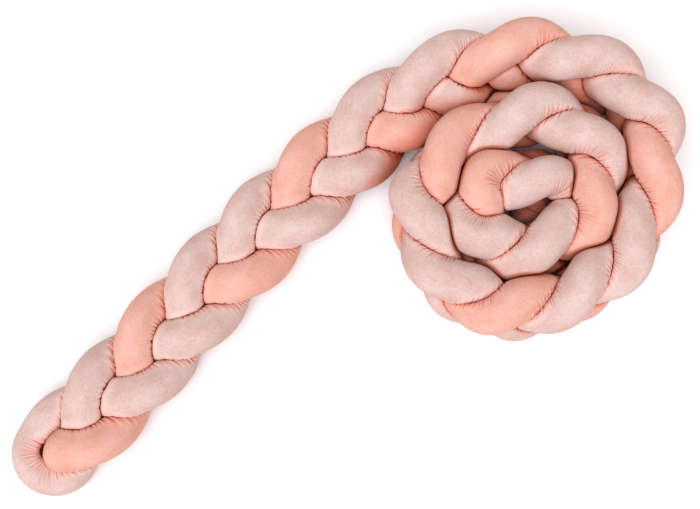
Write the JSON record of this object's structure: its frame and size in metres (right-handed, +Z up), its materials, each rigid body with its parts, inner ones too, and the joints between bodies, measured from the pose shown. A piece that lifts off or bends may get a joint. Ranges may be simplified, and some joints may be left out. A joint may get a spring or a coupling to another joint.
{
  "type": "crib bumper",
  "caption": "Soft plaited crib bumper of stuffed velvet tubes, its free end laid out straight and the rest wound into a flat coil.",
  "frame": {"origin": "on the ground under the middle of the outline", "axes": "+Z up, +X from the free end towards the coil, +Y towards the side where the coil lies"},
  "size_m": [0.9935, 0.7086, 0.1407],
  "materials": {
    "velvet_peach": "matt peach velvet with a short nap",
    "velvet_pale": "matt pale blush velvet with a short nap"
  },
  "bodies": {
    "root": {"tube_peach": "velvet_peach", "tube_pale": "velvet_pale"}
  },
  "joints": []
}
